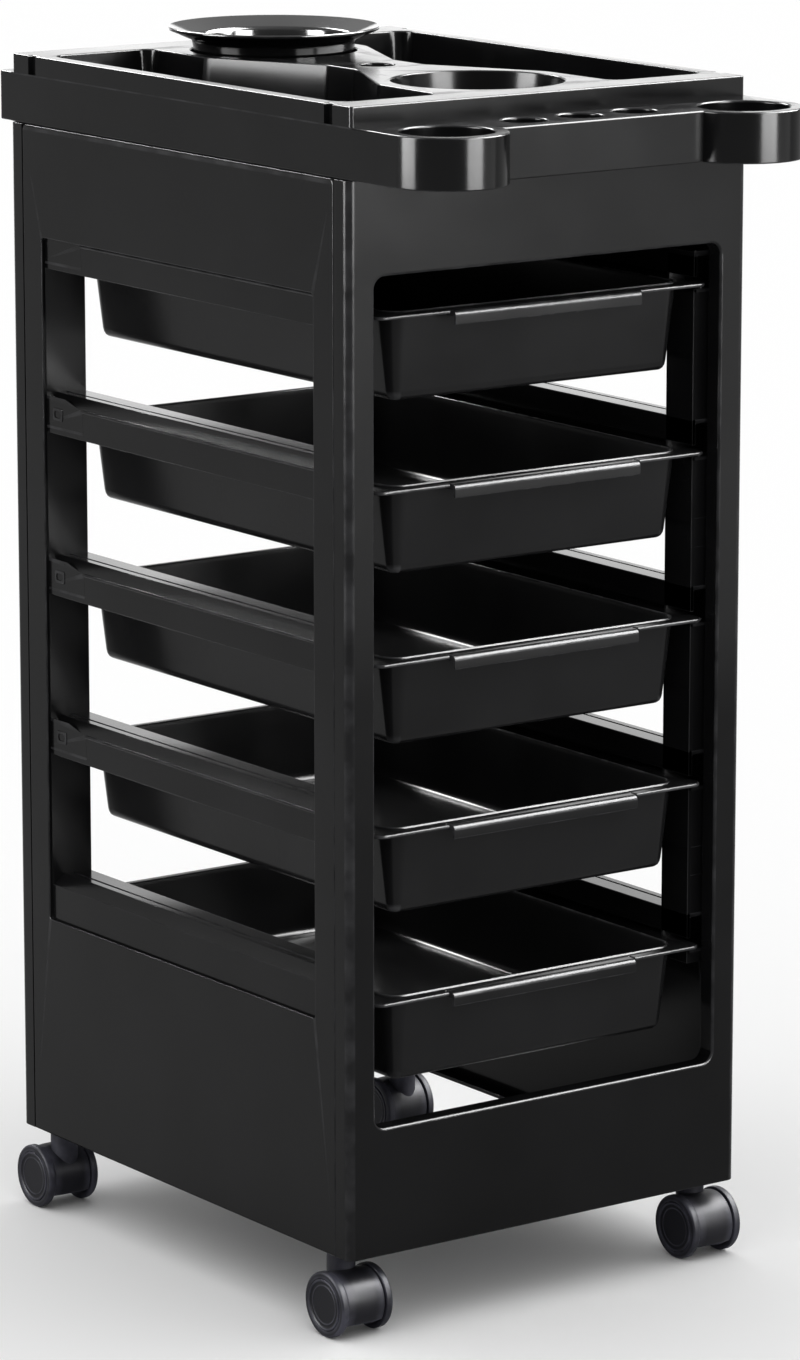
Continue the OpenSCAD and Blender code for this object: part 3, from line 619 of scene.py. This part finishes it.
def tub(d, z):
    """The tub's outline, d wider all round, at height z."""
    return drawer_loop(TUB_HALF + d, TUB_FRONT - d, TUB_BACK + d, max(15 + d, 2), 0), z


def rim(d, z):
    """The rim's outline, d smaller all round, at height z."""
    return drawer_loop(RIM_HALF - d, RIM_FRONT + d, RIM_BACK - d, 8 - d, 6), z


def drawer_piece(n):
    z = RIMS[n - 1]
    solid = Solid()
    # up the inside, over the edge, out along the rim, back under it and down the outside
    steps = [tub(-16, -60.8), tub(-13.6, -60.6), tub(-11.4, -59.7), tub(-9.8, -58), tub(-9.0, -55.5)]
    steps += [tub(-8.7, -53), tub(-2.6, -3), tub(-2.2, 0.2), tub(-1.8, 0.9), tub(-1.2, 1.3)]
    steps += [tub(-0.6, 1.35), tub(-0.1, 1.0), tub(0.2, 0.4), tub(0.8, 0.0)]
    steps += [rim(1.4, 0), rim(0.85, -0.12), rim(0.4, -0.4), rim(0.1, -0.85)]
    steps += [rim(0, -1.4), rim(0, -1.8), rim(0.4, -2.4), rim(0.9, -2.5)]
    steps += [tub(1.2, -2.5), tub(0.3, -2.9), tub(-0.1, -4), tub(-6.2, -56), tub(-6.9, -59)]
    steps += [tub(-8.2, -61.2), tub(-10.2, -62.6), tub(-13, -63)]
    floor, base = solid.skin([(loop, z + h) for loop, h in steps])
    solid.cap(floor)
    solid.cap(base)
    for s in (-1, 1):
        x = sorted((s * (RIM_HALF - 2), s * RIM_HALF))
        solid.block(x[0], x[1], RIM_FRONT + 8, RIM_BACK - 8, z - 5, z - 1.5, 0.4)
    # rolled lip in the middle of the front edge
    lip = [(-202.6, -0.2, 0.3), (-202.6, -4.6, 0.3), (-213.2, -4.6, 0.8), (-213.3, -10, 0.6),
           (-215.5, -10, 0.7), (-215.5, -0.2, 4.0)]
    section = [(y, z + h) for y, h in rounded(lip, 5)]
    solid.plate(section[::-1], [], -HANDLE_HALF, HANDLE_HALF, along_x, 0.35, 0.35)
    solid.finish(f"drawer_{n}_tub", f"sliding_drawer_{n}", DRAWER, [f"drawer_{n}"])


for number in range(1, 6):
    drawer_piece(number)


# ---------- tint bowl ----------

def smooth_line(points, steps=6):
    """A curve through the points (Catmull-Rom)."""
    out = []
    for i in range(len(points) - 1):
        p = [Vector(points[max(0, min(len(points) - 1, i + k))]) for k in (-1, 0, 1, 2)]
        for k in range(steps):
            t = k / steps
            out.append(tuple(0.5 * (2 * p[1] + (p[2] - p[0]) * t
                                    + (2 * p[0] - 5 * p[1] + 4 * p[2] - p[3]) * t * t
                                    + (3 * p[1] - p[0] - 3 * p[2] + p[3]) * t ** 3)))
    return out + [tuple(points[-1])]


def bowl_piece():
    low, top = Z_TOP - 43.5, Z_TOP + 18
    outside = smooth_line([(46, low + 0.2), (51, low + 1.6), (53.4, low + 6),
                           (59.4, Z_TOP - 2), (60.9, top - 11.5)], 5)
    outside += [(61.3, top - 10.3), (62.6, top - 9.2), (64.5, top - 8.4), (77.0, top - 3.1)]
    lip = [(78.4, top - 2.3), (79, top - 1.4), (78.9, top - 0.6), (78.2, top - 0.05), (77.6, top - 0.1)]
    inside = [(61.2, top - 6.8), (60.3, top - 7.4), (59.6, top - 8.4)]
    inside += smooth_line([(59.0, top - 10), (54.0, Z_TOP - 16), (51.6, low + 9),
                           (48.5, low + 3.8), (42, low + 2.1)], 5)
    solid = Solid()
    for end in solid.skin([(circle(0, BOWL_Y, r), h) for r, h in outside + lip + inside]):
        solid.cap(end)
    solid.finish("tint_bowl_shell", "bowl", BOWL, ["tint_bowl"], HARD_EDGE_ROUND)


bowl_piece()


# ---------- casters ----------

def caster_pieces(corner, sx, sy):
    x0, y0 = sx * STEM_X, sy * (STEM_Y + TRAIL)
    swivel = corner + "_swivel"

    def axle(a, b, h):
        return Vector((x0 + h, y0 - sy * a, WHEEL_R + b))

    def stem(a, b, h):
        return Vector((x0 + a, sy * STEM_Y + b, h))

    hood = Solid()
    fender = rounded([(20.5, -16, 0.5), (20.5, 16, 0.5), (22.3, 16, 1.1), (22.9, 8, 30), (23, 0, 60),
                      (22.9, -8, 30), (22.3, -16, 1.1)], 4)
    low_angle = -34.0
    hood.lathe(fender, axle, 64, 180 - 2 * low_angle, low_angle)
    hood.lathe([(3.4, -3.5), (22, -3.5), (22, 3.5), (3.4, 3.5)], axle, 48, 180 - 2 * low_angle, low_angle)
    neck = [(5.55, 33), (10.4, 33), (10.4, 56.8), (10.1, 57.8), (9.4, 58.4), (5.9, 58.4), (5.55, 58)]
    hood.lathe(neck, stem, 64)
    hood.finish(corner + "_hood_shell", swivel, CASTER, [corner + "_caster_hood"])

    for which, side in (("outer", sx), ("inner", -sx)):
        body = f"{corner}_{which}_roller"

        def hub(a, b, h):
            return Vector((x0 + side * h, y0 + a, WHEEL_R + b))

        wheel = Solid()
        wheel.lathe([(3.05, 11.1), (7, 11.1), (7, 15.1), (17, 15.1), (17.4, 11.9), (17.8, 11.6),
                     (19.4, 11.6), (19.8, 12), (19.8, 16.4), (23.2, 16.4), (23.7, 16.6),
                     (24, 17.1), (24, 20.2), (23.85, 20.9), (23.4, 21.6), (22.7, 22.0),
                     (21.8, 22.1), (19.6, 22.1), (19.3, 21.9), (19.2, 20.6), (7, 20.6),
                     (7, 19.9), (3.05, 19.9)], hub)
        wheel.finish(f"{body}_tyre", body, CASTER,
                     [f"{corner}_{which}_wheel"], HARD_EDGE_ROUND)
        cap = Solid()
        face = [(0.6, 20.6), (18.9, 20.6), (18.9, 21.7), (18.75, 22.2), (18.4, 22.55), (17.8, 22.6),
                (17.3, 22.45), (16.9, 22.0), (16.3, 21.7), (15.2, 21.65), (14.8, 21.8),
                (14.4, 22.0), (13.9, 22.0), (13.5, 21.8), (12.9, 21.65), (0.6, 21.75)]
        for end in cap.skin([(circle(0, 0, r, 72), h) for r, h in face], hub):
            cap.cap(end)
        cap.finish(f"{body}_disc", body, CASTER,
                   [f"{corner}_{which}_cap"], HARD_EDGE_ROUND)


CORNERS = (("front_left", -1, -1), ("front_right", 1, -1), ("back_left", -1, 1), ("back_right", 1, 1))
for corner_name, corner_x, corner_y in CORNERS:
    caster_pieces(corner_name, corner_x, corner_y)

# screws, stems and axles keep their CAD shape
for cad_name, cad_object in frame["nodes"].items():
    if cad_name.endswith(("_screws", "_stem", "_axle")):
        cad_object.data.materials.clear()
        cad_object.data.materials.append(STEEL)


# ---------- stage, lights and camera ----------

FLOOR_HALF, FLOOR_WHITE = 14.0, 0.9
HORIZON, ZENITH = 0.45, 1.35


def floor():
    mesh = bpy.data.meshes.new("floor")
    half = FLOOR_HALF
    corners = [(-half, -half, 0), (half, -half, 0), (half, half, 0), (-half, half, 0)]
    mesh.from_pydata(corners, [], [(0, 1, 2, 3)])
    made = bpy.data.objects.new("floor", mesh)
    bpy.context.scene.collection.objects.link(made)
    material = bpy.data.materials.new("floor_white")
    material.use_nodes = True
    shader = material.node_tree.nodes["Principled BSDF"]
    shader.inputs["Base Color"].default_value = (FLOOR_WHITE, FLOOR_WHITE, FLOOR_WHITE, 1)
    shader.inputs["Roughness"].default_value = 0.9
    shader.inputs["Specular IOR Level"].default_value = 0.0
    mesh.materials.append(material)


def softbox(name, azimuth, distance, height, size, radiance, tilt=0.0):
    """A soft light seen only in reflections; radiance is relative to the white floor."""
    data = bpy.data.lights.new(name, "AREA")
    data.shape = "RECTANGLE"
    data.size, data.size_y = size
    data.energy = radiance * math.pi * size[0] * size[1]
    lamp = bpy.data.objects.new(name, data)
    bpy.context.scene.collection.objects.link(lamp)
    a = math.radians(azimuth)
    lamp.location = (math.sin(a) * distance, -math.cos(a) * distance, height)
    lamp.rotation_euler = (math.radians(90 - tilt), 0, a)
    lamp.visible_diffuse = False
    lamp.visible_camera = False


def world():
    """A dim horizon under a bright sky, so the floor is white and level tops stay grey."""
    made = bpy.data.worlds.new("studio")
    bpy.context.scene.world = made
    made.use_nodes = True
    tree = made.node_tree
    sky = tree.nodes["Background"]
    sky.inputs["Strength"].default_value = 1.0
    place = node(tree, "ShaderNodeTexCoord")
    split = node(tree, "ShaderNodeSeparateXYZ")
    tree.links.new(place.outputs["Generated"], split.inputs["Vector"])
    height = ranged(tree, split.outputs["Z"], (0.25, 0.75), (HORIZON, ZENITH))
    tree.links.new(height, sky.inputs["Color"])


floor()
world()
# name, azimuth, distance, height, size, radiance, tilt
softbox("left_strip", -105, 2.6, 1.5, (1.3, 2.0), 62)
softbox("right_strip", 13, 2.6, 1.5, (1.3, 2.0), 62)
softbox("right_high", 62, 1.8, 2.4, (2.4, 2.0), 85, 47)
softbox("back_high", 176, 3.0, 2.9, (1.1, 1.3), 60, 37)
softbox("low_back", 143, 1.7, 0.9, (2.6, 0.62), 1.7)
softbox("front_fill", 36, 2.4, 0.55, (1.8, 1.2), 2.1)

scene = bpy.context.scene
scene.view_settings.view_transform = "Standard"

camera_data = bpy.data.cameras.new("camera")
camera = bpy.data.objects.new("camera", camera_data)
scene.collection.objects.link(camera)
scene.camera = camera
camera_data.sensor_width = 36.0
camera_data.lens = 155.25
camera_data.clip_start, camera_data.clip_end = 0.1, 100
azimuth, elevation, roll = math.radians(-35.666), math.radians(12.076), 0.0000869
back = Vector((math.sin(azimuth) * math.cos(elevation),
               -math.cos(azimuth) * math.cos(elevation), math.sin(elevation)))
right = Vector((math.cos(azimuth), math.sin(azimuth), 0))
up = back.cross(right)
right = right * math.cos(roll) + up * math.sin(roll)
up = back.cross(right)
camera.rotation_mode = "QUATERNION"
camera.rotation_quaternion = Matrix((right, up, back)).transposed().to_quaternion()
camera.location = (-2.46542, -3.43258, 1.33387)
